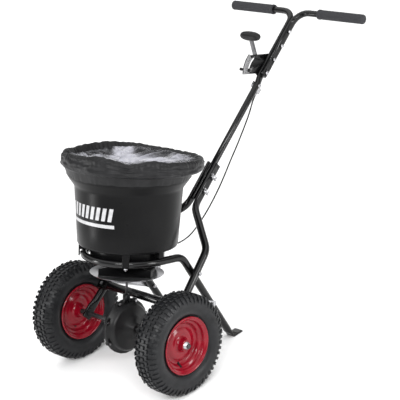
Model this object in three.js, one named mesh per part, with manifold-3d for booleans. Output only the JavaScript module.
// Push broadcast spreader for garden use: two pneumatic wheels on a live axle, a round gearbox that drives
// a vertical impeller shaft, a hopper on a hooped frame with stand legs, and a wishbone handle with a lever.
// Millimetres, +Z up, front of the machine towards -Y, handle towards +Y, X across the machine.
// Everything is laid out in the machine frame (origin at the middle of the axle, impeller shaft along Z),
// which is then leaned back about the axle until the flattened feet stand on the ground.
import * as THREE from "three";
import { mergeVertices } from "three/addons/utils/BufferGeometryUtils.js";
import Module from "manifold-3d";

const wasm = await Module();
wasm.setup();

// ---- driving dimensions -------------------------------------------------------------------------------
const GAP = 0.3; // air left between neighbouring pieces
const LEAN = THREE.MathUtils.degToRad(15.7); // how far the parked machine leans back on its feet
const HANDLE_ANGLE = THREE.MathUtils.degToRad(51.5); // handle plane above the machine's own horizontal

const WHEEL_RADIUS = 165;
const TRACK = 492; // between the wheels' centre planes
const TYRE_WIDTH = 90;
const RIM_RADIUS = 94;
const RIM_HALF_WIDTH = 37.5;
const AXLE_RADIUS = 8;
const AXLE_HALF_LENGTH = 290;
const BUSHING_X = 184; // where the lower handle tubes hang on the axle

const LOWER_TUBE = 12.7; // radius of the frame and lower handle tubes
const UPPER_TUBE = 11.1; // radius of the upper handle tubes
const BOLT = 3.5; // shank radius of the frame bolts

const HOOP_RADIUS = 139; // centreline of the hoop under the hopper
const HOOP_Z = 242;
const CROSSING_Y = 151; // bolt where a leg crosses a lower handle tube
const CROSSING_Z = 187;
const LEG_SLOPE = 1.262; // drop of a leg per unit of travel to the rear
const LEG_X = 140;
const BRACE_Z = 63; // bolt where the brace meets a leg
const BRACE_S = 135; // bolt where it meets the lower handle tube

const GEARBOX_RADIUS = 80;
const FLANGE_RADIUS = 94;
const SCREW_CIRCLE = 88;
const CROWN_TEETH = 36;
const PINION_TEETH = 6;
const CROWN_PITCH_RADIUS = 58;
const SHAFT_RADIUS = 4.2;

const IMPELLER_RADIUS = 121;
const IMPELLER_Z = 178;
const VANE_HEIGHT = 24;
const VANE_PLATE = [85, 68]; // half sides of the plate the vanes stand on
const VANE_TURN = THREE.MathUtils.degToRad(40);
const SHAFT_TOP = 322;

const FLOOR_Z = 262; // underside of the hopper floor round the shaft
const BASE_Z = 275;
const BASE_RADIUS = 162.5;
const SPOUT_Z = 222; // lower edge of the ring that surrounds the outlet
const SPOUT_RADIUS = 120;
const SHOULDER_Z = 467;
const SHOULDER_RADIUS = 174.3;
const RIM_Z = 541;
const SHUTTER_TRAVEL = 23;

const HANDLE_TOP = 1258.7; // distance of the grips from the axle along the handle plane
const GRIP_INNER = 103;
const GRIP_OUTER = 296;
const LEVER_S = 1002; // lever pivot along the handle plane
const LEVER_X = -19;
const LEVER_ANGLE = THREE.MathUtils.degToRad(113);
const LEVER_LENGTH = 137.5;
const KNOB_HALF = 43;
const ARM_ANGLE = THREE.MathUtils.degToRad(-30);
const ARM_LENGTH = 34;
const SLOT_RADIUS = 62.5;
const SLOT_START = THREE.MathUtils.degToRad(118);
const SLOT_END = THREE.MathUtils.degToRad(175);
const STOP_ANGLE = THREE.MathUtils.degToRad(170);

// ---- materials ----------------------------------------------------------------------------------------
const finish = (color, roughness, metalness) => new THREE.MeshStandardMaterial({ color, roughness, metalness });
const powderCoat = finish(0x0b0b0c, 0.25, 0);
const hopperPlastic = finish(0x19191b, 0.5, 0);
const casingPlastic = finish(0x141415, 0.45, 0);
const redSteel = finish(0xb0101c, 0.2, 0);
const tyreRubber = finish(0x121214, 0.85, 0);
const zinc = finish(0xb4b6ba, 0.35, 0.9);
const brightSteel = finish(0xc9ccd0, 0.2, 0.95);
const gripFoam = finish(0x35353a, 0.9, 0);
const leverPaint = finish(0x9b9b9f, 0.4, 0.3);
const nylon = finish(0x1e1e1e, 0.5, 0);
const coverVinyl = finish(0x202024, 0.4, 0);
const cableSheath = finish(0x101010, 0.4, 0);

// ---- solids -------------------------------------------------------------------------------------------
function toSolid(geometry) {
  const bare = geometry.clone();
  bare.deleteAttribute("normal");
  bare.deleteAttribute("uv");
  const merged = mergeVertices(bare, 1e-3);
  return new wasm.Manifold(
    new wasm.Mesh({
      numProp: 3,
      vertProperties: merged.attributes.position.array,
      triVerts: new Uint32Array(merged.index.array),
    }),
  );
}

function toGeometry(solid) {
  const { vertProperties, triVerts } = solid.getMesh();
  const geometry = new THREE.BufferGeometry();
  geometry.setAttribute("position", new THREE.BufferAttribute(vertProperties, 3));
  geometry.setIndex(new THREE.BufferAttribute(triVerts, 1));
  return geometry;
}

function join(...geometries) {
  return toGeometry(geometries.map(toSolid).reduce((all, one) => all.add(one)));
}

function cut(geometry, ...tools) {
  return toGeometry(tools.map(toSolid).reduce((rest, tool) => rest.subtract(tool), toSolid(geometry)));
}

function clip(geometry, tool) {
  return toGeometry(toSolid(geometry).intersect(toSolid(tool)));
}

function piece(name, geometry, material) {
  const mesh = new THREE.Mesh(geometry, material);
  mesh.name = name;
  return mesh;
}

// A block given by its lowest and highest corners.
function block(low, high) {
  const size = high.map((value, i) => value - low[i]);
  const centre = high.map((value, i) => (value + low[i]) / 2);
  return new THREE.BoxGeometry(...size).translate(...centre);
}

// A body of revolution from [distance along the axis, radius] points, whichever way round they are given.
function turned(points, segments) {
  const profile = points.map(([along, radius]) => new THREE.Vector2(radius, along));
  const outward = THREE.ShapeUtils.area(profile) > 0;
  return new THREE.LatheGeometry(outward ? profile : profile.reverse(), segments);
}

const turnedX = (points, segments = 32) => turned(points, segments).rotateZ(-Math.PI / 2);
const turnedZ = (points, segments = 32) => turned(points, segments).rotateX(Math.PI / 2);

const closed = (points) => [...points, points[0]];
const rod = (from, to, radius) => [[from, 0], [from, radius], [to, radius], [to, 0]];
const sleeve = (from, to, inner, outer) => closed([[from, inner], [from, outer], [to, outer], [to, inner]]);

// A bolt along X with a head at one end and a nut at the other, both drawn as hexagons.
function boltX(headEnd, nutEnd, radius = BOLT, headHeight = 4, nutHeight = 5) {
  const sense = Math.sign(nutEnd - headEnd);
  const wide = radius * 1.8;
  const points = [
    [headEnd, 0],
    [headEnd, wide],
    [headEnd + sense * headHeight, wide],
    [headEnd + sense * headHeight, radius],
    [nutEnd - sense * (nutHeight + 3), radius],
    [nutEnd - sense * (nutHeight + 3), wide],
    [nutEnd - sense * 3, wide],
    [nutEnd - sense * 3, radius],
    [nutEnd, radius],
    [nutEnd, 0],
  ];
  return turnedX(points, 6);
}

// ---- tubes --------------------------------------------------------------------------------------------
// Corner points become arcs of the given radius; returns points and tangents, closest at the bends.
function route(corners, bendRadius, arcStep = Math.PI / 12) {
  const stations = [];
  const add = (point, tangent) => stations.push({ point: point.clone(), tangent: tangent.clone() });
  for (let i = 0; i < corners.length; i += 1) {
    const here = corners[i];
    if (i === 0 || i === corners.length - 1) {
      const other = corners[i === 0 ? 1 : i - 1];
      const tangent = here.clone().sub(other).normalize();
      add(here, i === 0 ? tangent.negate() : tangent);
      continue;
    }
    const before = here.clone().sub(corners[i - 1]).normalize();
    const after = corners[i + 1].clone().sub(here).normalize();
    const angle = before.angleTo(after);
    const reach = bendRadius * Math.tan(angle / 2);
    const start = here.clone().addScaledVector(before, -reach);
    const normal = after.clone().addScaledVector(before, -after.dot(before)).normalize();
    const centre = start.clone().addScaledVector(normal, bendRadius);
    const steps = Math.max(2, Math.ceil(angle / arcStep));
    for (let k = 0; k <= steps; k += 1) {
      const turn = (angle * k) / steps;
      const point = centre
        .clone()
        .addScaledVector(normal, -bendRadius * Math.cos(turn))
        .addScaledVector(before, bendRadius * Math.sin(turn));
      const tangent = before
        .clone()
        .multiplyScalar(Math.cos(turn))
        .addScaledVector(normal, Math.sin(turn));
      add(point, tangent);
    }
  }
  return stations;
}

// Sweeps a section along stations. "across" is the section's first axis at the start; size(station) gives the
// half widths along it and square to it, and how far the section is pressed flat (0 oval, 1 a flat bar with
// rounded edges). The section is carried along without twist.
function sweep(stations, across, size, sides = 12) {
  const positions = [];
  const widest = Math.sin(Math.PI / 2 - Math.PI / sides);
  const pressed = (value, power) => Math.sign(value) * Math.abs(value) ** power;
  const first = across.clone();
  stations.forEach((station) => {
    first.addScaledVector(station.tangent, -first.dot(station.tangent)).normalize();
    const second = station.tangent.clone().cross(first);
    const [a, b, flat = 0] = size(station);
    const power = THREE.MathUtils.lerp(1, 0.35, flat);
    const full = THREE.MathUtils.lerp(1, widest ** power, flat);
    for (let k = 0; k < sides; k += 1) {
      const turn = (2 * Math.PI * (k + 0.5)) / sides;
      const point = station.point
        .clone()
        .addScaledVector(first, (a * pressed(Math.cos(turn), power)) / full)
        .addScaledVector(second, (b * pressed(Math.sin(turn), power)) / full);
      positions.push(point.x, point.y, point.z);
    }
  });
  const index = [];
  const last = (stations.length - 1) * sides;
  for (let ring = 0; ring < last; ring += sides) {
    for (let k = 0; k < sides; k += 1) {
      const next = (k + 1) % sides;
      index.push(ring + k, ring + next, ring + sides + next);
      index.push(ring + k, ring + sides + next, ring + sides + k);
    }
  }
  for (let k = 1; k < sides - 1; k += 1) {
    index.push(0, k + 1, k);
    index.push(last, last + k, last + k + 1);
  }
  const geometry = new THREE.BufferGeometry();
  geometry.setAttribute("position", new THREE.Float32BufferAttribute(positions, 3));
  geometry.setIndex(index);
  return geometry;
}

const vec = (x, y, z) => new THREE.Vector3(x, y, z);
const AXIS_X = vec(1, 0, 0);

// A point of the handle plane: x across, s along the plane from the axle, n above its upper face.
function onHandle(x, s, n = 0) {
  const c = Math.cos(HANDLE_ANGLE);
  const k = Math.sin(HANDLE_ANGLE);
  return vec(x, s * c - n * k, s * k + n * c);
}
const alongHandle = (point) => point.y * Math.cos(HANDLE_ANGLE) + point.z * Math.sin(HANDLE_ANGLE);

// 0 below from, 1 above to, smooth between.
const ramp = (value, from, to) => THREE.MathUtils.smoothstep(value, from, to);

// ---- wheels -------------------------------------------------------------------------------------------
// Wheels stand with a flat's corner on the ground whatever the lean.
const onWheel = (points, centreX) => turnedX(points, 20).rotateX(LEAN).translate(centreX, 0, 0);

// The casing is a C-shaped shell that is open towards the rim.
function tyre(centreX) {
  const half = TYRE_WIDTH / 2;
  const outer = [
    [16, WHEEL_RADIUS],
    [half - 8, 153],
    [half, 130],
    [half - 4, 112],
    [30.6, 97],
    [30.6, 85],
  ];
  const inner = [
    [22, 85],
    [25, 99],
    [half - 8, 124],
    [half - 20, 150],
  ];
  const side = [...outer, ...inner];
  const other = side.map(([x, r]) => [-x, r]).reverse();
  return onWheel(closed([...side, ...other]), centreX);
}

// Pressed steel wheel: flanges, bead seats and a thin dished web round the hub tube.
function rim(centreX) {
  const seat = [
    [12, 70],
    [16, 83],
    [31, 84.5],
    [34, RIM_RADIUS],
    [RIM_HALF_WIDTH, RIM_RADIUS],
  ];
  const dish = [
    [33, 81.5],
    [19, 79],
    [14, 66],
    [4, 56],
    [4, 42],
    [12, 19],
    [31, 17],
    [31, AXLE_RADIUS + GAP],
  ];
  const half = [...seat, ...dish];
  const other = half.map(([x, r]) => [-x, r]).reverse();
  return onWheel(closed([...half, ...other]), centreX);
}

// Washer and lock nut on the axle just outside a hub.
function hubNut(sense) {
  const start = TRACK / 2 + 31 + GAP;
  const bore = AXLE_RADIUS + GAP;
  const points = [
    [start, bore],
    [start, 13],
    [start + 2, 13],
    [start + 2.5, 10.5],
    [start + 8, 10.5],
    [start + 9, bore],
  ];
  const nut = turnedX(closed(points), 20);
  return sense > 0 ? nut : nut.rotateZ(Math.PI);
}

function axle() {
  const bar = turnedX(rod(-AXLE_HALF_LENGTH, AXLE_HALF_LENGTH, AXLE_RADIUS), 16);
  const hole = (x) => turnedZ(rod(-20, 20, 1.2), 8).translate(x, 0, 0);
  return cut(bar, hole(AXLE_HALF_LENGTH - 1.9), hole(1.9 - AXLE_HALF_LENGTH));
}

// ---- gearbox ------------------------------------------------------------------------------------------
const screwAngles = [24, 72, 121, -24, -72, -121].map((degrees) => THREE.MathUtils.degToRad(90 + degrees));
const screwPlace = (angle) => [SCREW_CIRCLE * Math.cos(angle), SCREW_CIRCLE * Math.sin(angle)];

function gearboxHalf(sense) {
  const shell = [
    [GAP / 2, FLANGE_RADIUS - 2],
    [4, FLANGE_RADIUS - 2],
    [4, GEARBOX_RADIUS],
    [20, GEARBOX_RADIUS],
    [28, GEARBOX_RADIUS - 8],
    [30, 44],
    [39, 40],
    [41, 21],
    [54, 19],
    [54, AXLE_RADIUS + GAP],
    [26, AXLE_RADIUS + GAP],
    [26, 68],
    [19, GEARBOX_RADIUS - 4],
    [GAP / 2, GEARBOX_RADIUS - 4],
  ];
  const body = turnedX(closed(shell), 24);
  const neck = turnedZ(rod(84, 107, 12), 16);
  const lugs = screwAngles.map((angle) => {
    const [y, z] = screwPlace(angle);
    return turnedX(rod(GAP / 2, 6, 8), 8).translate(0, y, z);
  });
  const full = join(body, clip(join(neck, ...lugs), block([GAP / 2, -200, -200], [60, 200, 200])));
  const shaftHole = turnedZ(rod(60, 120, SHAFT_RADIUS + GAP), 16);
  const screwHoles = screwAngles.map((angle) => {
    const [y, z] = screwPlace(angle);
    return turnedX(rod(-10, 20, 2.9), 6).translate(0, y, z);
  });
  const drilled = cut(full, shaftHole, ...screwHoles);
  return sense > 0 ? drilled : drilled.rotateZ(Math.PI);
}

function gearboxScrew(angle) {
  const [y, z] = screwPlace(angle);
  return boltX(6 + GAP + 3, -12.5, 2.5, 3, 3).translate(0, y, z);
}

// The crown wheel's teeth point at the pinion; a tooth gap stands at the top when parked.
function crownGear() {
  const disc = turnedX(
    closed([[13, AXLE_RADIUS + GAP], [8.5, AXLE_RADIUS + GAP], [8.5, 20], [13, 22], [13, 67], [17, 67], [17, 22], [24, 20], [24, AXLE_RADIUS + GAP]]),
    18,
  );
  const teeth = [];
  for (let k = 0; k < CROWN_TEETH; k += 1) {
    const tooth = block([8.5, -1.3, 50], [14, 1.3, 66]);
    teeth.push(tooth.rotateX(((k + 0.5) * 2 * Math.PI) / CROWN_TEETH));
  }
  return join(disc, ...teeth);
}

function pinionGear() {
  const low = CROWN_PITCH_RADIUS - 5;
  const high = CROWN_PITCH_RADIUS + 5;
  const hub = turnedZ(sleeve(low - 2, high, SHAFT_RADIUS + GAP, 7.2), 18);
  const teeth = [];
  for (let k = 0; k < PINION_TEETH; k += 1) {
    const tooth = block([6.5, -1.3, low], [11.5, 1.3, high]);
    teeth.push(tooth.rotateZ((k * 2 * Math.PI) / PINION_TEETH));
  }
  return join(hub, ...teeth);
}

// ---- impeller -----------------------------------------------------------------------------------------
// Shaft from the gearbox up into the hopper, with the stirring arm welded across its top.
function impellerShaft() {
  const low = FLOOR_Z + 14;
  const shaft = turnedZ(rod(CROWN_PITCH_RADIUS - 10, SHAFT_TOP, SHAFT_RADIUS), 16);
  const collar = turnedZ(rod(low, low + 18, 9), 16);
  const arm = (sense) => {
    const corners = [vec(sense * 4, 0, low + 9), vec(sense * 44, 0, low + 9), vec(sense * 44, 0, low + 38)];
    return sweep(route(corners, 9), vec(0, 1, 0), () => [3, 3], 6);
  };
  return join(shaft, collar, arm(1), arm(-1));
}

function impellerDisc() {
  const bore = SHAFT_RADIUS + GAP;
  const top = IMPELLER_Z + 2.5;
  return turnedZ(
    closed([
      [IMPELLER_Z - 14, bore],
      [IMPELLER_Z - 14, 13],
      [IMPELLER_Z, 15],
      [IMPELLER_Z, IMPELLER_RADIUS - 5],
      [IMPELLER_Z + 4, IMPELLER_RADIUS],
      [top, IMPELLER_RADIUS - 4],
      [top, bore],
    ]),
    28,
  );
}

// Four upright vanes run from the hub to the corners of a rectangular plate.
function impellerVanes() {
  const low = IMPELLER_Z + 2.5 + GAP;
  const high = low + VANE_HEIGHT;
  const [long, short] = VANE_PLATE;
  const hub = turnedZ(sleeve(low, high + 2, SHAFT_RADIUS + GAP, 13), 20);
  const plate = cut(block([-long, -short, low], [long, short, low + 2]), turnedZ(rod(low - 1, high, 8), 16));
  const corners = [[long, short], [-long, short], [-long, -short], [long, -short]];
  const blades = corners.map(([x, y]) => {
    const blade = block([11, -1.5, low], [Math.hypot(x, y) - 2, 1.5, high]);
    return blade.rotateZ(Math.atan2(y, x));
  });
  return join(hub, plate, ...blades).rotateZ(VANE_TURN);
}

// ---- frame --------------------------------------------------------------------------------------------
const legZ = (y) => CROSSING_Z - LEG_SLOPE * (y - CROSSING_Y);
const groundZ = (y) => (y * Math.sin(LEAN) - WHEEL_RADIUS) / Math.cos(LEAN);
const FOOT_HALF_THICKNESS = 2.6;
const FOOT_LENGTH = 40;

// Where a leg's centreline meets the middle of its flattened foot.
function footCorner() {
  const lift = FOOT_HALF_THICKNESS / Math.cos(LEAN);
  const groundRise = Math.tan(LEAN);
  const y = (legZ(0) - groundZ(0) - lift) / (LEG_SLOPE + groundRise);
  return vec(0, y, legZ(y));
}

// One bent tube: foot, leg, side rail, hoop round the front, side rail, leg, foot.
function lowerFrame() {
  const heel = footCorner();
  const pad = vec(0, Math.cos(LEAN), Math.sin(LEAN));
  const toe = heel.clone().addScaledVector(pad, FOOT_LENGTH);
  const kneeY = CROSSING_Y - (HOOP_Z - CROSSING_Z) / LEG_SLOPE;
  const side = (sense) => {
    const at = (p) => vec(sense * LEG_X, p.y, p.z);
    const down = heel.clone().sub(vec(0, kneeY, HOOP_Z)).normalize();
    const above = heel.clone().addScaledVector(down, -34);
    const bendStations = route([vec(sense * LEG_X, 0, HOOP_Z), vec(sense * LEG_X, kneeY, HOOP_Z), at(above)], 52);
    bendStations.shift();
    const along = (p, t) => ({ point: at(p), tangent: t.clone() });
    const mean = down.clone().add(pad).normalize();
    return [
      ...bendStations,
      along(heel.clone().addScaledVector(down, -12), down),
      along(heel, mean),
      along(heel.clone().addScaledVector(pad, 8), pad),
      along(toe, pad),
    ];
  };
  const reverse = (stations) => stations.map((s) => ({ point: s.point, tangent: s.tangent.clone().negate() })).reverse();
  const hoop = [];
  const steps = 12;
  for (let k = 0; k <= steps; k += 1) {
    const turn = (Math.PI * k) / steps;
    const point = vec(LEG_X * Math.cos(turn), -HOOP_RADIUS * Math.sin(turn), HOOP_Z);
    hoop.push({ point, tangent: vec(-Math.sin(turn), -Math.cos(turn), 0) });
  }
  const stations = [...reverse(side(1)), ...hoop, ...side(-1)];
  const flatness = (point) => 1 - ramp(point.z - groundZ(point.y), 8, 36);
  const size = ({ point }) => {
    const flat = flatness(point);
    const wide = THREE.MathUtils.lerp(LOWER_TUBE, 18, flat);
    const thin = THREE.MathUtils.lerp(LOWER_TUBE, FOOT_HALF_THICKNESS, flat);
    return [wide, thin, flat];
  };
  const tube = sweep(stations, AXIS_X, size, 12);
  const holes = [-1, 1].flatMap((sense) => [
    turnedX(rod(-20, 20, BOLT + GAP), 10).translate(sense * LEG_X, CROSSING_Y, CROSSING_Z),
    turnedX(rod(-20, 20, BOLT + GAP), 10).translate(sense * LEG_X, braceY(), BRACE_Z),
  ]);
  const hopperHoles = hopperBoltPlaces.map(([x, y]) => turnedZ(rod(HOOP_Z - 20, HOOP_Z + 20, 3.3), 10).translate(x, y, 0));
  return cut(tube, ...holes, ...hopperHoles);
}

const braceY = () => CROSSING_Y + (CROSSING_Z - BRACE_Z) / LEG_SLOPE;
const DIAGONAL = HOOP_RADIUS * Math.SQRT1_2;
const hopperBoltPlaces = [
  [DIAGONAL, -DIAGONAL],
  [-DIAGONAL, -DIAGONAL],
  [LEG_X, 6],
  [-LEG_X, 6],
];

// Flat brace from the outer side of a leg forward to the lower handle tube, drawn with its front bolt.
function legBrace(sense) {
  const inner = LEG_X + LOWER_TUBE + GAP;
  const outer = inner + 2.5;
  const across = (low, high, y, z) => {
    const ends = [sense * low, sense * high];
    return block([Math.min(...ends), ...y], [Math.max(...ends), ...z]);
  };
  const reach = onHandle(0, BRACE_S).sub(vec(0, braceY(), BRACE_Z));
  const bar = across(inner, outer, [0, -9], [reach.length(), 9]).rotateX(Math.atan2(reach.z, reach.y));
  const disc = (radius) => turnedX(rod(sense * inner, sense * outer, radius), 16);
  const tube = strutX(BRACE_S);
  const bolt = turnedX(
    [
      [inner - 4, 0],
      [inner - 4, 6.3],
      [inner + 1, 6.3],
      [inner + 1, 6],
      [tube - LOWER_TUBE - 0.8, 6],
      [tube - LOWER_TUBE - 0.8, BOLT],
      [tube + LOWER_TUBE + 1.1, BOLT],
      [tube + LOWER_TUBE + 1.1, 6.3],
      [tube + LOWER_TUBE + 6, 6.3],
      [tube + LOWER_TUBE + 6, BOLT],
      [tube + LOWER_TUBE + 8, BOLT],
      [tube + LOWER_TUBE + 8, 0],
    ].map(([x, radius]) => [sense * x, radius]),
    8,
  );
  const front = join(disc(9), bolt).translate(0, reach.y, reach.z);
  const hole = turnedX(rod(sense * (inner - 5), sense * (outer + 5), BOLT + GAP), 10);
  return cut(join(bar, disc(11), front), hole).translate(0, braceY(), BRACE_Z);
}

function braceBolt(sense) {
  const outer = LEG_X + LOWER_TUBE + GAP + 2.5 + GAP;
  return boltX(sense * (outer + 4), sense * (LEG_X - LOWER_TUBE - 9), BOLT, 4, 5).translate(0, braceY(), BRACE_Z);
}

// ---- lower handle tubes -------------------------------------------------------------------------------
const STRUT_BEND_X = 159.5;
const STRUT_BEND_S = 325;
const JUNCTION_S = 460;
const STRUT_TOP = 628;
const FLAT_HALF = 5; // half thickness of a flattened lower tube end
const JUNCTION_X = UPPER_TUBE + 0.6 + FLAT_HALF;
const JUNCTION_BOLTS = [523, 580];
const CROSSBAR_S = 108;
const strutX = (s) => THREE.MathUtils.lerp(BUSHING_X, STRUT_BEND_X, s / STRUT_BEND_S);

function strut(sense) {
  const corners = [
    onHandle(sense * BUSHING_X, -17),
    onHandle(sense * BUSHING_X, 22),
    onHandle(sense * STRUT_BEND_X, STRUT_BEND_S),
    onHandle(sense * JUNCTION_X, JUNCTION_S),
    onHandle(sense * JUNCTION_X, STRUT_TOP),
  ];
  const stations = route(corners, 60, Math.PI / 14);
  const start = stations[0];
  const extra = [22, 32, 50].map((s) => {
    const x = s < 22 ? BUSHING_X : THREE.MathUtils.lerp(BUSHING_X, STRUT_BEND_X, (s - 22) / (STRUT_BEND_S - 22));
    return { point: onHandle(sense * x, s), tangent: start.tangent.clone() };
  });
  const upper = [500, 545].map((s) => ({ point: onHandle(sense * JUNCTION_X, s), tangent: start.tangent.clone() }));
  const kept = stations.filter(({ point }) => {
    const s = alongHandle(point);
    return s < 0 || (s > 60 && s < 494) || s > 600;
  });
  const all = [...kept, ...extra, ...upper].sort((p, q) => alongHandle(p.point) - alongHandle(q.point));
  const size = ({ point }) => {
    const s = alongHandle(point);
    const low = 1 - ramp(s, 22, 52);
    const high = ramp(s, 446, 484);
    const flat = Math.max(low, high);
    const thin = THREE.MathUtils.lerp(LOWER_TUBE, low > high ? 4.5 : FLAT_HALF, flat);
    return [thin, THREE.MathUtils.lerp(LOWER_TUBE, low > high ? 17 : 13.2, flat), flat];
  };
  const tube = sweep(all, AXIS_X, size, 12);
  const eye = turnedX(rod(sense * BUSHING_X - 6, sense * BUSHING_X + 6, 11 + GAP), 16);
  const crossing = turnedX(rod(-20, 20, BOLT + GAP), 10).translate(sense * 165, CROSSING_Y, CROSSING_Z);
  const front = onHandle(0, BRACE_S);
  const brace = turnedX(rod(-20, 20, BOLT + GAP), 10).translate(sense * strutX(BRACE_S), front.y, front.z);
  const junction = JUNCTION_BOLTS.map((s) => {
    const at = onHandle(sense * JUNCTION_X, s);
    return turnedX(rod(-12, 12, 4 + GAP), 10).translate(at.x, at.y, at.z);
  });
  return cut(tube, eye, crossing, brace, ...junction, crossbarBore(sense));
}

// Flanged bush between a lower handle tube and the axle.
function axleBushing(sense) {
  const half = 4.5 + GAP;
  const flange = half + 3;
  const bore = AXLE_RADIUS + GAP;
  const points = [
    [-flange, bore],
    [-flange, 17],
    [-half, 17],
    [-half, 11],
    [half, 11],
    [half, 17],
    [flange, 17],
    [flange, bore],
  ];
  return turnedX(closed(points), 14).translate(sense * BUSHING_X, 0, 0);
}

// Things laid square to the handle plane are drawn along Z and turned into place.
function squareToHandle(geometry, x, s) {
  const at = onHandle(x, s);
  return geometry.rotateX(HANDLE_ANGLE).translate(at.x, at.y, at.z);
}

function crossbarBore(sense) {
  return squareToHandle(turnedZ(rod(-30, 40, BOLT + GAP), 10), sense * strutX(CROSSBAR_S), CROSSBAR_S);
}

// Tube across the front of the lower handle tubes, with flattened ends bolted to them.
function crossbar() {
  const seat = LOWER_TUBE + GAP + 3.5;
  const end = strutX(CROSSBAR_S) + 16;
  const places = [-end, -154, -136, 0, 136, 154, end];
  const stations = places.map((x) => {
    const flat = ramp(Math.abs(x), 136, 154);
    return { point: onHandle(x, CROSSBAR_S, THREE.MathUtils.lerp(19, seat, flat)), tangent: AXIS_X.clone() };
  });
  const size = ({ point }) => {
    const flat = ramp(Math.abs(point.x), 136, 154);
    return [THREE.MathUtils.lerp(14, 3.5, flat), THREE.MathUtils.lerp(14, 18, flat), flat];
  };
  const normal = onHandle(0, 0, 1);
  return cut(sweep(stations, normal, size, 12), crossbarBore(1), crossbarBore(-1));
}

function crossbarBolt(sense) {
  const top = LOWER_TUBE + GAP + 7 + GAP;
  const bolt = boltX(-(top + 4), LOWER_TUBE + 10, BOLT, 4, 5).rotateY(Math.PI / 2);
  return squareToHandle(bolt, sense * strutX(CROSSBAR_S), CROSSBAR_S);
}

// Bolt through a leg and the lower handle tube that crosses it.
function crossingBolt(sense) {
  const outer = strutX(242) + LOWER_TUBE + GAP;
  const inner = LEG_X - LOWER_TUBE - GAP;
  return boltX(sense * (inner - 4), sense * (outer + 9.5), BOLT, 4, 5).translate(0, CROSSING_Y, CROSSING_Z);
}

function junctionBolt(s) {
  const at = onHandle(0, s);
  const outer = JUNCTION_X + FLAT_HALF;
  const wide = 6.5;
  const points = [
    [-outer - 6, 0],
    [-outer - 6, wide],
    [-outer - GAP, wide],
    [-outer - GAP, 4],
    [outer + 20, 4],
    [outer + 20, 0],
  ];
  return turnedX(points, 12).translate(at.x, at.y, at.z);
}

function wingNut(s) {
  const at = onHandle(0, s);
  const base = JUNCTION_X + FLAT_HALF + GAP;
  const hub = turnedX(sleeve(base, base + 8, 4 + GAP, 7), 16);
  const wing = (sense) => {
    const plate = block([base + 3, -1.5, 5], [base + 12, 1.5, 15]);
    return plate.rotateX(sense > 0 ? 0.5 : Math.PI + 0.5);
  };
  return join(hub, wing(1), wing(-1)).translate(at.x, at.y, at.z);
}

// ---- upper handle -------------------------------------------------------------------------------------
const OVAL_HALF = 6; // half thickness of the flattened upper tubes
const OVAL_X = OVAL_HALF + 0.4;
const DOUBLE_FROM = 992;
const COLUMN_FOOT = 488;
const HANDLE_BEND = 50;
const HANDLE_BOLTS = [1058, 1116, 1176];
const CLAMP_S = 948;

const ovalSize = (flat) => [
  THREE.MathUtils.lerp(UPPER_TUBE, OVAL_HALF, flat),
  THREE.MathUtils.lerp(UPPER_TUBE, 14, flat),
  0.6 * flat,
];

function handleBores(places, radius = BOLT + GAP) {
  return places.map((s) => {
    const at = onHandle(0, s);
    return turnedX(rod(-30, 30, radius), 10).translate(at.x, at.y, at.z);
  });
}

// Long tube from the junction up to the left grip.
function handleColumn() {
  const bend = HANDLE_TOP - HANDLE_BEND;
  const straight = [COLUMN_FOOT, 956, 972, DOUBLE_FROM - 4, bend - 50];
  const up = onHandle(0, 1).normalize();
  const shift = (s) => -OVAL_X * ramp(s, 956, DOUBLE_FROM - 4);
  const stem = straight.map((s) => ({ point: onHandle(shift(s), s), tangent: up.clone() }));
  const corners = [onHandle(-OVAL_X, 1000), onHandle(-OVAL_X, HANDLE_TOP), onHandle(-GRIP_OUTER + 6, HANDLE_TOP)];
  const turn = route(corners, HANDLE_BEND);
  turn.shift();
  const size = ({ point }) => {
    const s = alongHandle(point);
    return ovalSize(ramp(s, 956, DOUBLE_FROM - 4) * (1 - ramp(s, bend + 4, bend + 30)));
  };
  const tube = sweep([...stem, ...turn], AXIS_X, size, 12);
  return cut(tube, ...handleBores([...JUNCTION_BOLTS, CLAMP_S, LEVER_S, ...HANDLE_BOLTS], 4 + GAP));
}

// Short tube bolted beside the long one, up to the right grip.
function rightHandlebar() {
  const bend = HANDLE_TOP - HANDLE_BEND;
  const up = onHandle(0, 1).normalize();
  const stem = [DOUBLE_FROM, bend - 50].map((s) => ({ point: onHandle(OVAL_X, s), tangent: up.clone() }));
  const corners = [onHandle(OVAL_X, 1000), onHandle(OVAL_X, HANDLE_TOP), onHandle(GRIP_OUTER - 6, HANDLE_TOP)];
  const turn = route(corners, HANDLE_BEND);
  turn.shift();
  const size = ({ point }) => ovalSize(1 - ramp(alongHandle(point), bend + 4, bend + 30));
  const tube = sweep([...stem, ...turn], AXIS_X, size, 12);
  return cut(tube, ...handleBores([LEVER_S, ...HANDLE_BOLTS], 4 + GAP));
}

function handleBolt(s) {
  const at = onHandle(0, s);
  const left = s === HANDLE_BOLTS[0] ? -(2 * OVAL_X + 4) : -(2 * OVAL_X + 1);
  return boltX(left - 4, 2 * OVAL_X + 10, BOLT, 4, 5).translate(at.x, at.y, at.z);
}

// Foam grip: a closed sleeve over the tube end with a square-cut cap and a collar at its inner end.
function grip(sense) {
  const inner = UPPER_TUBE + GAP;
  const outer = 16.5;
  const points = [
    [GRIP_INNER, inner],
    [GRIP_INNER, 17],
    [GRIP_INNER + 1, 17.5],
    [GRIP_INNER + 7, 17.5],
    [GRIP_INNER + 8, outer],
    [GRIP_OUTER - 2.5, outer],
    [GRIP_OUTER, outer - 2.5],
    [GRIP_OUTER, 0],
    [GRIP_OUTER - 6 + GAP, 0],
    [GRIP_OUTER - 6 + GAP, inner],
  ];
  const at = onHandle(0, HANDLE_TOP);
  const body = turnedX(closed(points), 16);
  return (sense > 0 ? body : body.rotateZ(Math.PI)).translate(at.x, at.y, at.z);
}

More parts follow.
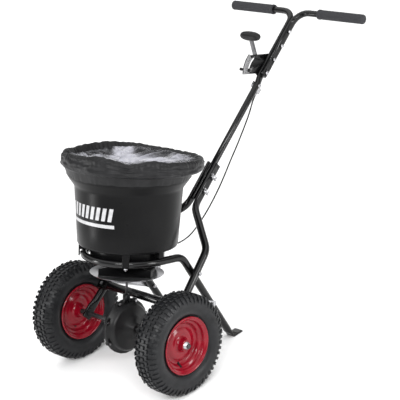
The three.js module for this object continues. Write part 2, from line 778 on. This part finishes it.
// ---- control lever ------------------------------------------------------------------------------------
const pivot = onHandle(0, LEVER_S);
const PLATE_X = -(2 * OVAL_X + 0.8);
const PLATE_THICKNESS = 2;
const polar = (radius, angle) => [radius * Math.cos(angle), radius * Math.sin(angle)];

// A flat plate in the side plane: outline in (y, z) about the pivot, between two x values.
function sidePlate(outline, lowX, highX, holes = []) {
  const shape = new THREE.Shape(outline.map(([y, z]) => new THREE.Vector2(y, z)));
  holes.forEach((hole) => shape.holes.push(new THREE.Path(hole.map(([y, z]) => new THREE.Vector2(y, z)))));
  const plate = new THREE.ExtrudeGeometry(shape, { depth: highX - lowX, bevelEnabled: false });
  const turn = new THREE.Matrix4().makeBasis(vec(0, 1, 0), vec(0, 0, 1), vec(1, 0, 0));
  return plate.applyMatrix4(turn).translate(lowX, pivot.y, pivot.z);
}

function arcPoints(radius, from, to, steps) {
  const points = [];
  for (let k = 0; k <= steps; k += 1) {
    points.push(polar(radius, from + ((to - from) * k) / steps));
  }
  return points;
}

function circlePoints(y, z, radius, steps = 12) {
  return arcPoints(radius, 0, 2 * Math.PI * (1 - 1 / steps), steps - 1).map(([a, b]) => [y + a, z + b]);
}

// Quadrant with an arc slot for the stop, held by the lever pivot bolt and the bolt above it.
function quadrantPlate() {
  const outline = [
    [2, -17],
    [64, 62],
    [-58, 62],
    ...arcPoints(90, THREE.MathUtils.degToRad(133), THREE.MathUtils.degToRad(181), 8),
    [-26, -3],
    [-12, -14],
  ];
  const slot = [
    ...arcPoints(SLOT_RADIUS + 3.6, SLOT_START, SLOT_END, 10),
    ...arcPoints(SLOT_RADIUS - 3.6, SLOT_START, SLOT_END, 10).reverse(),
  ];
  const second = onHandle(0, HANDLE_BOLTS[0]).sub(pivot);
  const holes = [slot, circlePoints(0, 0, 4 + GAP), circlePoints(second.y, second.z, 4 + GAP)];
  return sidePlate(outline, PLATE_X - PLATE_THICKNESS, PLATE_X, holes);
}

// Bell crank: long arm to the knob, short arm with a peg for the wire.
function controlLever() {
  const arm = (angle, length, rootWidth, tipWidth) => {
    const [cy, cz] = polar(1, angle);
    const corner = (along, off) => [along * cy - off * cz, along * cz + off * cy];
    return [corner(0, -rootWidth), corner(length, -tipWidth), corner(length, tipWidth), corner(0, rootWidth)];
  };
  const low = LEVER_X - 2;
  const high = LEVER_X + 2;
  const long = sidePlate(arm(LEVER_ANGLE, LEVER_LENGTH + 6, 9, 8), low, high);
  const short = sidePlate(arm(ARM_ANGLE, ARM_LENGTH + 5, 8, 5), low, high);
  const boss = turnedX(rod(low, high, 12), 20).translate(0, pivot.y, pivot.z);
  const [pegY, pegZ] = polar(ARM_LENGTH, ARM_ANGLE);
  const peg = turnedX(rod(low - 5, low + 1, 1.5), 8).translate(0, pivot.y + pegY, pivot.z + pegZ);
  const bore = turnedX(rod(-40, 0, 4 + GAP), 12).translate(0, pivot.y, pivot.z);
  return cut(join(long, short, boss, peg), bore);
}

// Oval hand knob across the end of the lever.
function leverKnob() {
  const points = [[-KNOB_HALF, 0]];
  for (let k = 1; k < 8; k += 1) {
    const turn = (Math.PI * k) / 8;
    points.push([-KNOB_HALF * Math.cos(turn), 16.5 * Math.sin(turn) ** 0.7]);
  }
  points.push([KNOB_HALF, 0]);
  const [y, z] = polar(LEVER_LENGTH, LEVER_ANGLE);
  const body = turnedX(points, 20).translate(LEVER_X, y, z);
  const socket = block([LEVER_X - 2 - GAP, -9, -60], [LEVER_X + 2 + GAP, 9, 7]);
  const turned = socket.rotateX(LEVER_ANGLE - Math.PI / 2).translate(0, y, z);
  return cut(body, turned).translate(0, pivot.y, pivot.z);
}

function leverPivotBolt() {
  return boltX(LEVER_X - 2 - GAP - 4, 2 * OVAL_X + 10, 4, 4, 5).translate(0, pivot.y, pivot.z);
}

// Thumb screw clamped in the slot; it limits how far the lever opens.
function stopScrew() {
  const [y, z] = polar(SLOT_RADIUS, STOP_ANGLE);
  const far = PLATE_X - PLATE_THICKNESS;
  const points = [
    [-52, 0],
    [-52, 5],
    [-30, 5],
    [-30, 3],
    [far - 3, 3],
    [far - 3, 6],
    [far - GAP, 6],
    [far - GAP, 3],
    [PLATE_X + GAP, 3],
    [PLATE_X + GAP, 6],
    [PLATE_X + 4, 6],
    [PLATE_X + 4, 0],
  ];
  return turnedX(points, 12).translate(0, pivot.y + y, pivot.z + z);
}

// ---- control cable ------------------------------------------------------------------------------------
const WIRE_X = LEVER_X - 5;
const peg = (() => {
  const [y, z] = polar(ARM_LENGTH, ARM_ANGLE);
  return vec(WIRE_X, pivot.y + y, pivot.z + z);
})();
const wireDown = vec(0, Math.sin(ARM_ANGLE), -Math.cos(ARM_ANGLE));
const wireStart = peg.clone().add(vec(0, ...polar(-4.8, ARM_ANGLE)));
const onWire = (distance) => wireStart.clone().addScaledVector(wireDown, distance);
const FERRULE_TOP = 42;
const FERRULE_LENGTH = 36;

// Straight bodies along the wire are drawn along Z, downwards, then turned into place.
function alongWire(geometry, distance) {
  const at = onWire(distance);
  const turn = new THREE.Quaternion().setFromUnitVectors(vec(0, 0, -1), wireDown);
  return geometry.applyQuaternion(turn).translate(at.x, at.y, at.z);
}

// Bare wire with a ring hooked over the lever's peg; its tail runs in the ferrule.
function cableWire() {
  const ring = new THREE.TorusGeometry(8.5, 1, 6, 16).rotateY(Math.PI / 2);
  const tail = turnedZ(rod(-(FERRULE_TOP + 31), -8, 1), 8);
  return alongWire(join(ring, tail), 0);
}

// Sheet clip that grips the ferrule, drawn with the bolt that holds it to the handle.
function cableClamp() {
  const barrel = turnedZ(
    closed([[-FERRULE_LENGTH, 0], [-FERRULE_LENGTH, 5], [0, 5], [0, 1.5], [-FERRULE_LENGTH + 4, 1.5], [-FERRULE_LENGTH + 4, 0]]),
    12,
  );
  const ferrule = alongWire(barrel, FERRULE_TOP);
  const at = onHandle(0, CLAMP_S);
  const mid = onWire(FERRULE_TOP + FERRULE_LENGTH / 2);
  const side = -(UPPER_TUBE + 1);
  const reach = mid.clone().sub(at);
  const length = Math.hypot(reach.y, reach.z);
  const angle = Math.atan2(reach.z, reach.y);
  const tab = block([side - 2, -11, -11], [side, length, 11]).rotateX(angle).translate(0, at.y, at.z);
  const bridge = block([WIRE_X - 3, length - 4, -9], [side, length + 4, 9]);
  const turned = bridge.rotateX(angle).translate(0, at.y, at.z);
  const bolt = boltX(side - 5, UPPER_TUBE + GAP + 8, BOLT, 4, 5).translate(0, at.y, at.z);
  const hollow = alongWire(turnedZ(rod(-FERRULE_LENGTH + 4, 2, 1.5), 12), FERRULE_TOP);
  return cut(join(ferrule, tab, turned, bolt), hollow);
}

const ANCHOR_Y = 152; // where the sheath stops in the lug under the rear of the hopper
const ANCHOR_Z = 240;
const SHEATH = 2.6;

// Sheath from the clip down behind the handle and forward under the hopper.
function controlCable() {
  const start = onWire(FERRULE_TOP + FERRULE_LENGTH + GAP);
  const places = [
    start,
    start.clone().addScaledVector(wireDown, 14),
    vec(-22, 582, 642),
    vec(-20, 533, 553),
    vec(-18, 491, 487),
    vec(-16, 452, 424),
    vec(-12, 402, 359),
    vec(-8, 347, 302),
    vec(-4, 288, 258),
    vec(-1, 232, ANCHOR_Z + 1),
    vec(0, ANCHOR_Y + 40, ANCHOR_Z),
    vec(0, ANCHOR_Y + 20, ANCHOR_Z),
    vec(0, ANCHOR_Y + GAP, ANCHOR_Z),
  ];
  const curve = new THREE.CatmullRomCurve3(places, false, "centripetal");
  const steps = 32;
  const stations = [];
  for (let k = 0; k <= steps; k += 1) {
    stations.push({ point: curve.getPointAt(k / steps), tangent: curve.getTangentAt(k / steps) });
  }
  stations[0].tangent.copy(wireDown);
  stations[steps].tangent.set(0, -1, 0);
  return sweep(stations, AXIS_X, () => [SHEATH, SHEATH], 6);
}

// ---- hopper -------------------------------------------------------------------------------------------
const PORT_Y = 40;

function portCutter(shift, lowZ, highZ) {
  const outline = new THREE.Shape();
  outline.absarc(0, 0, 10, 0, Math.PI * 2);
  const hole = new THREE.ExtrudeGeometry(outline, { depth: highZ - lowZ, bevelEnabled: false, curveSegments: 8 });
  return [-24, 24].map((x) => hole.clone().translate(x, PORT_Y + shift, lowZ));
}

function hopper() {
  const profile = [
    [FLOOR_Z, SHAFT_RADIUS + 1],
    [FLOOR_Z, 80],
    [BASE_Z - 1, 90],
    [BASE_Z, BASE_RADIUS - 8],
    [BASE_Z + 9, BASE_RADIUS],
    [SHOULDER_Z, SHOULDER_RADIUS],
    [497, 195],
    [531, 204],
    [533, 212],
    [RIM_Z, 212],
    [RIM_Z, 201],
    [500, 191.5],
    [SHOULDER_Z + 2, SHOULDER_RADIUS - 3.5],
    [BASE_Z + 13, BASE_RADIUS - 3.5],
    [BASE_Z + 4, BASE_RADIUS - 10],
    [BASE_Z + 3, 90],
    [FLOOR_Z + 4, 77],
    [FLOOR_Z + 4, SHAFT_RADIUS + 1],
  ];
  const shell = turnedZ(closed(profile), 28);
  const rails = [-1, 1].flatMap((sense) => {
    const between = (a, b, y0, y1, z0, z1) => block([Math.min(a, b), y0, z0], [Math.max(a, b), y1, z1]);
    return [
      between(sense * 47, sense * 52, -58, 70, FLOOR_Z - 7, FLOOR_Z + 3),
      between(sense * 42, sense * 52, -58, 70, FLOOR_Z - 7, FLOOR_Z - 4.5),
    ];
  });
  const feet = hopperBoltPlaces.map(([x, y], i) => {
    const top = BASE_Z + 6;
    const low = HOOP_Z + LOWER_TUBE + GAP;
    if (i > 1) return block([x - 10.5, y - 9, low], [x + 10.5, y + 9, top]);
    const saddle = block([-11, -HOOP_RADIUS - 18, low], [11, 9 - HOOP_RADIUS, top]);
    const apron = block([-11, -HOOP_RADIUS - 18, HOOP_Z - 8], [11, -HOOP_RADIUS - LOWER_TUBE - 0.8, top]);
    return join(saddle, apron).rotateZ(x > 0 ? Math.PI / 4 : -Math.PI / 4);
  });
  const spout = turnedZ(sleeve(SPOUT_Z, BASE_Z + 1.5, SPOUT_RADIUS - 3.5, SPOUT_RADIUS), 28);
  const lug = block([-8, 110, ANCHOR_Z - 8], [8, 146, BASE_Z + 10]);
  const heel = block([-8, 140, ANCHOR_Z - 8], [8, ANCHOR_Y + 18, ANCHOR_Z + 8]);
  const seat = turnedZ(rod(-ANCHOR_Y - 30, -ANCHOR_Y, SHEATH + GAP), 12).rotateX(Math.PI / 2);
  const wireBore = turnedZ(rod(-ANCHOR_Y - 10, -90, 1.6), 10).rotateX(Math.PI / 2);
  const anchor = [seat, wireBore].map((tool) => tool.translate(0, 0, ANCHOR_Z));
  const drill = hopperBoltPlaces.map(([x, y]) => turnedZ(rod(HOOP_Z, BASE_Z + 2.6, 3.3), 10).translate(x, y, 0));
  const inside = turnedZ(
    [[BASE_Z + 2.5, 0], [BASE_Z + 2.5, 100], [BASE_Z + 8, BASE_RADIUS - 8], [BASE_Z + 60, BASE_RADIUS - 4], [BASE_Z + 60, 0]],
    28,
  );
  const mounts = cut(join(...feet, lug, heel), inside);
  return cut(join(shell, spout, mounts, ...rails), ...drill, ...anchor, ...portCutter(0, FLOOR_Z - 2, FLOOR_Z + 6));
}

function hopperBolt([x, y]) {
  const wide = BOLT * 1.8;
  const points = [
    [HOOP_Z - LOWER_TUBE - GAP - 9, 0],
    [HOOP_Z - LOWER_TUBE - GAP - 9, 3],
    [HOOP_Z - LOWER_TUBE - GAP - 5, 3],
    [HOOP_Z - LOWER_TUBE - GAP - 5, wide],
    [HOOP_Z - LOWER_TUBE - GAP, wide],
    [HOOP_Z - LOWER_TUBE - GAP, 3],
    [BASE_Z - 1, 3],
    [BASE_Z - 1, 0],
  ];
  return turnedZ(points, 8).translate(x, y, 0);
}

// Sliding plate under the floor; it opens the ports as the wire draws it to the rear.
function shutterPlate() {
  const low = FLOOR_Z - 3.8;
  const high = FLOOR_Z - 1.8;
  const plate = block([-46.5, -56, low], [46.5, 62, high]);
  const tongue = block([-8, 60, low], [8, 82, high]);
  const drop = block([-8, 80, ANCHOR_Z - 5], [8, 82, high]);
  const wire = turnedZ(rod(-123, -81, 1), 8).rotateX(Math.PI / 2).translate(0, 0, ANCHOR_Z);
  const shaftSlot = block([-7, -40, low - 1], [7, 9, high + 1]);
  return cut(join(plate, tongue, drop, wire), shaftSlot, ...portCutter(-SHUTTER_TRAVEL, low - 1, high + 1));
}

// Elasticated rain cover over the hopper mouth, drawn as a plain cap.
function rainCover() {
  const profile = [
    [541, 0],
    [544, 120],
    [560, 204],
    [560, 216],
    [528, 217],
    [499, 213],
    [499, 217],
    [515, 223],
    [540, 233],
    [560, 233],
    [575, 226],
    [576, 214],
    [556, 120],
    [548, 0],
  ];
  return turnedZ(profile, 24);
}

// ---- assembly -----------------------------------------------------------------------------------------
const machine = new THREE.Group();
machine.add(
  piece("tyre_right", tyre(TRACK / 2), tyreRubber),
  piece("tyre_left", tyre(-TRACK / 2), tyreRubber),
  piece("rim_right", rim(TRACK / 2), redSteel),
  piece("rim_left", rim(-TRACK / 2), redSteel),
  piece("axle", axle(), zinc),
  piece("hub_nut_right", hubNut(1), zinc),
  piece("hub_nut_left", hubNut(-1), zinc),
  piece("axle_bushing_right", axleBushing(1), nylon),
  piece("axle_bushing_left", axleBushing(-1), nylon),
  piece("gearbox_half_right", gearboxHalf(1), casingPlastic),
  piece("gearbox_half_left", gearboxHalf(-1), casingPlastic),
  ...screwAngles.map((angle, i) => piece(`gearbox_screw_${i + 1}`, gearboxScrew(angle), zinc)),
  piece("crown_gear", crownGear(), nylon),
  piece("pinion_gear", pinionGear(), nylon),
  piece("impeller_shaft", impellerShaft(), brightSteel),
  piece("impeller_disc", impellerDisc(), brightSteel),
  piece("impeller_vanes", impellerVanes(), casingPlastic),
  piece("lower_frame", lowerFrame(), powderCoat),
  piece("leg_brace_right", legBrace(1), zinc),
  piece("leg_brace_left", legBrace(-1), zinc),
  piece("brace_bolt_right", braceBolt(1), zinc),
  piece("brace_bolt_left", braceBolt(-1), zinc),
  piece("lower_tube_right", strut(1), powderCoat),
  piece("lower_tube_left", strut(-1), powderCoat),
  piece("crossbar", crossbar(), powderCoat),
  piece("crossbar_bolt_right", crossbarBolt(1), zinc),
  piece("crossbar_bolt_left", crossbarBolt(-1), zinc),
  piece("crossing_bolt_right", crossingBolt(1), zinc),
  piece("crossing_bolt_left", crossingBolt(-1), zinc),
  ...JUNCTION_BOLTS.flatMap((s, i) => [
    piece(`junction_bolt_${i + 1}`, junctionBolt(s), zinc),
    piece(`wing_nut_${i + 1}`, wingNut(s), zinc),
  ]),
  piece("handle_column", handleColumn(), powderCoat),
  piece("handlebar_right", rightHandlebar(), powderCoat),
  ...HANDLE_BOLTS.map((s, i) => piece(`handle_bolt_${i + 1}`, handleBolt(s), zinc)),
  piece("grip_right", grip(1), gripFoam),
  piece("grip_left", grip(-1), gripFoam),
  piece("quadrant_plate", quadrantPlate(), powderCoat),
  piece("control_lever", controlLever(), leverPaint),
  piece("lever_knob", leverKnob(), hopperPlastic),
  piece("lever_pivot_bolt", leverPivotBolt(), zinc),
  piece("stop_screw", stopScrew(), casingPlastic),
  piece("cable_wire", cableWire(), brightSteel),
  piece("cable_clamp", cableClamp(), zinc),
  piece("control_cable", controlCable(), cableSheath),
  piece("hopper", hopper(), hopperPlastic),
  ...hopperBoltPlaces.map((place, i) => piece(`hopper_bolt_${i + 1}`, hopperBolt(place), zinc)),
  piece("shutter_plate", shutterPlate(), zinc),
  piece("rain_cover", rainCover(), coverVinyl),
);

// Lean back about the axle, stand on the ground, and centre the footprint on the origin.
machine.rotation.x = -LEAN;
machine.position.z = WHEEL_RADIUS;
const group = new THREE.Group();
group.add(machine);
group.updateMatrixWorld(true);
const bounds = new THREE.Box3().setFromObject(machine, true);
const middle = bounds.getCenter(new THREE.Vector3());
machine.position.x -= middle.x;
machine.position.y -= middle.y;
machine.position.z -= bounds.min.z;

export default group;
